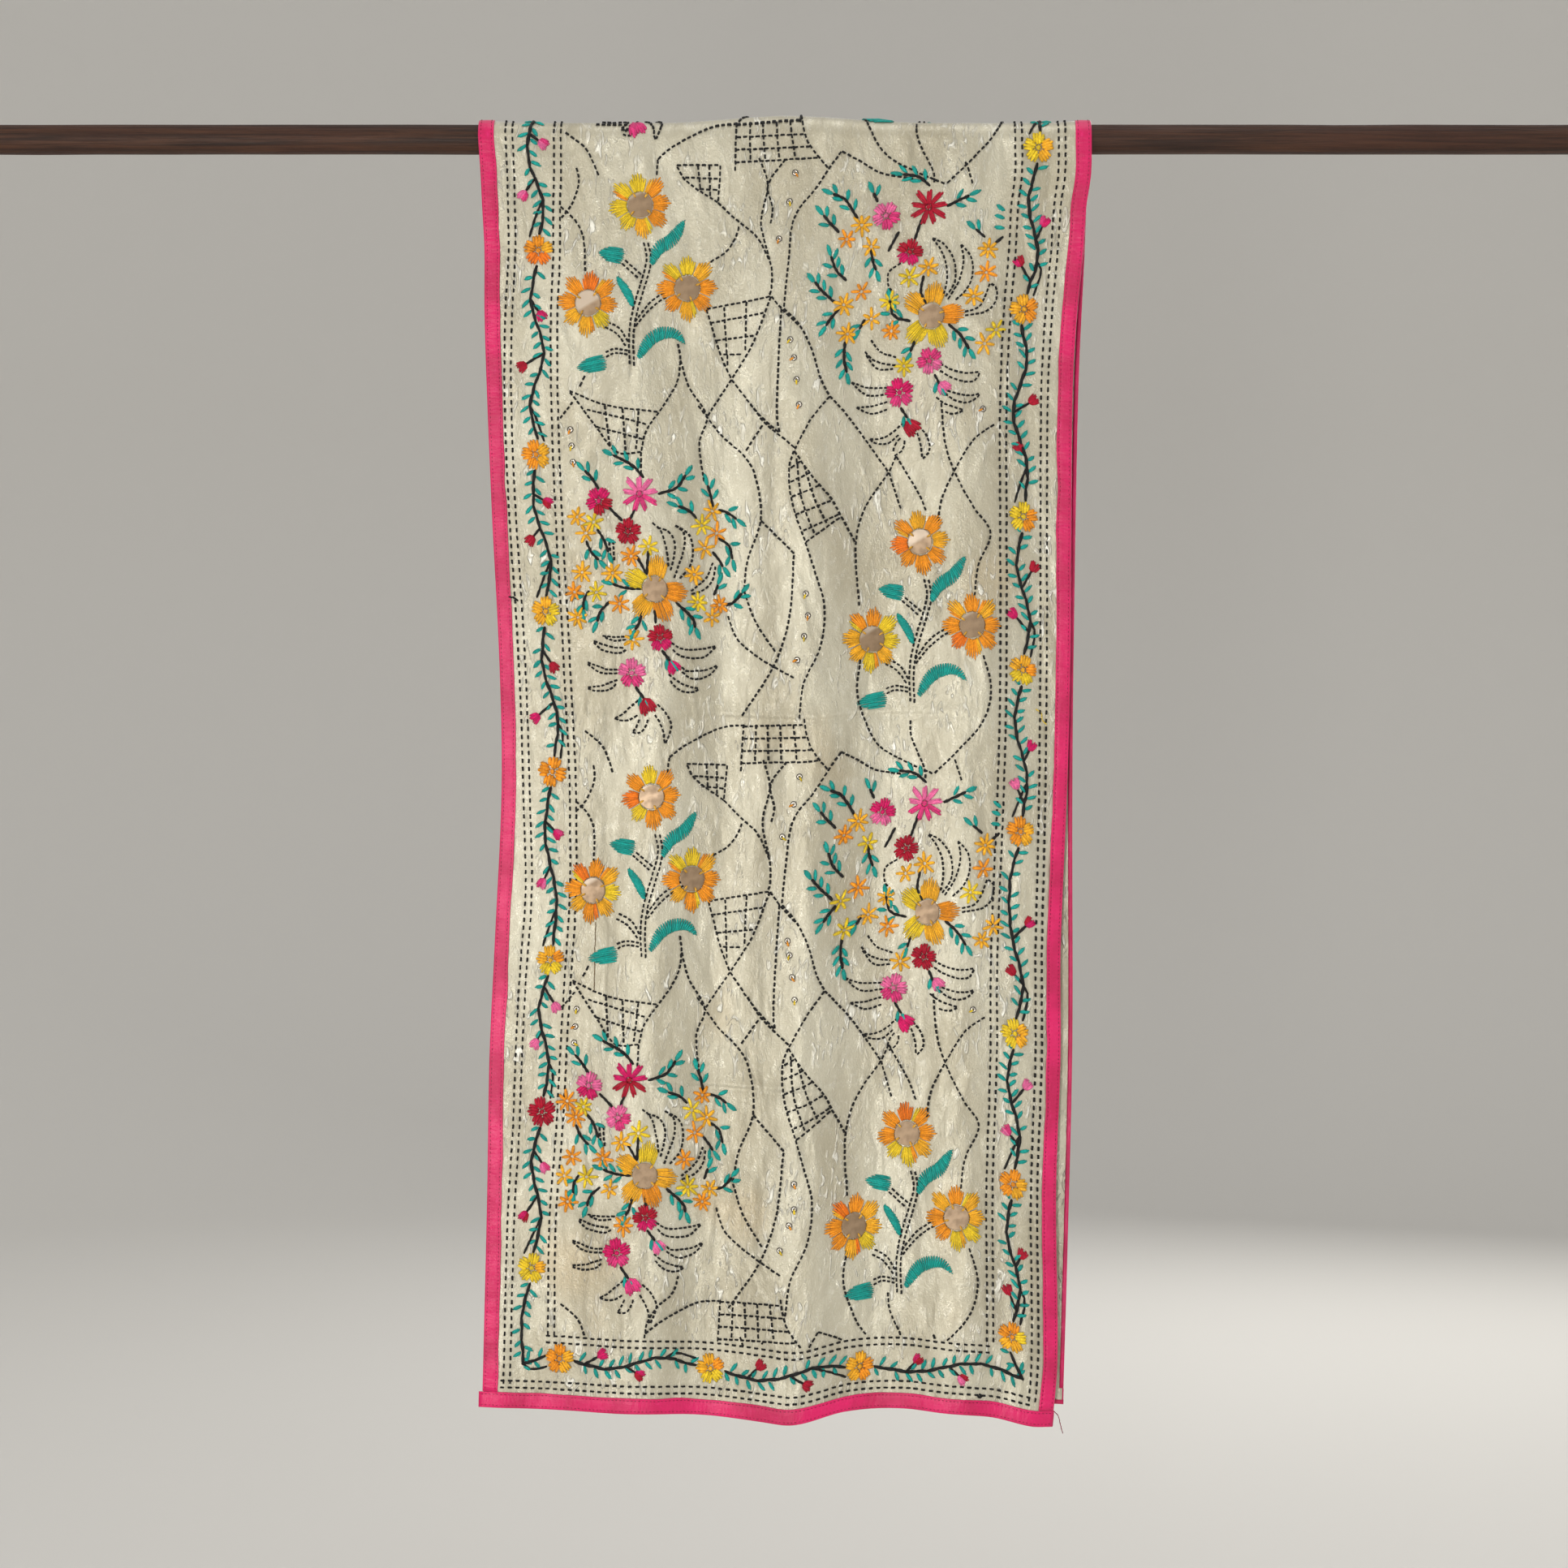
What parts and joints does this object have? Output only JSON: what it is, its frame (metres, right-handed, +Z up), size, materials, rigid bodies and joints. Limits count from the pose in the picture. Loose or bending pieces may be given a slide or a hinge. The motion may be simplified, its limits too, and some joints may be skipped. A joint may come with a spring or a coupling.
{
  "type": "embroidered stole hung over a wooden rod",
  "caption": "Long cream silk stole with embroidered flowers, small round mirrors and a pink ribbon edge, folded over a round wooden rod.",
  "frame": {"origin": "middle of the rod's axis, where the rod is held", "axes": "+X along the rod, to the right as seen from the front; +Z up; the front drop faces -Y"},
  "size_m": [1.3, 0.0458, 1.0519],
  "materials": {
    "cream_silk": "satin",
    "pink_ribbon": "satin",
    "embroidery_thread": "satin",
    "mirror_glass": "polished",
    "rod_wood": "satin"
  },
  "bodies": {
    "root": {"rod": "rod_wood", "stole_panel": "cream_silk", "binding_left": "pink_ribbon", "binding_right": "pink_ribbon", "hem_front": "pink_ribbon", "hem_back": "pink_ribbon", "mirror_front_01": "mirror_glass", "mirror_front_02": "mirror_glass", "mirror_front_03": "mirror_glass", "mirror_front_04": "mirror_glass", "mirror_front_05": "mirror_glass", "mirror_front_06": "mirror_glass", "mirror_front_07": "mirror_glass", "mirror_front_08": "mirror_glass", "mirror_front_09": "mirror_glass", "mirror_front_10": "mirror_glass", "mirror_front_11": "mirror_glass", "mirror_front_12": "mirror_glass", "mirror_front_13": "mirror_glass", "mirror_front_14": "mirror_glass", "mirror_front_15": "mirror_glass", "mirror_front_16": "mirror_glass", "mirror_back_01": "mirror_glass", "mirror_back_02": "mirror_glass", "mirror_back_03": "mirror_glass", "mirror_back_04": "mirror_glass", "mirror_back_05": "mirror_glass", "mirror_back_06": "mirror_glass", "mirror_back_07": "mirror_glass", "mirror_back_08": "mirror_glass", "mirror_back_09": "mirror_glass", "mirror_back_10": "mirror_glass", "mirror_back_11": "mirror_glass", "mirror_back_12": "mirror_glass", "mirror_back_13": "mirror_glass", "mirror_back_14": "mirror_glass", "mirror_back_15": "mirror_glass", "mirror_back_16": "mirror_glass"}
  },
  "joints": []
}
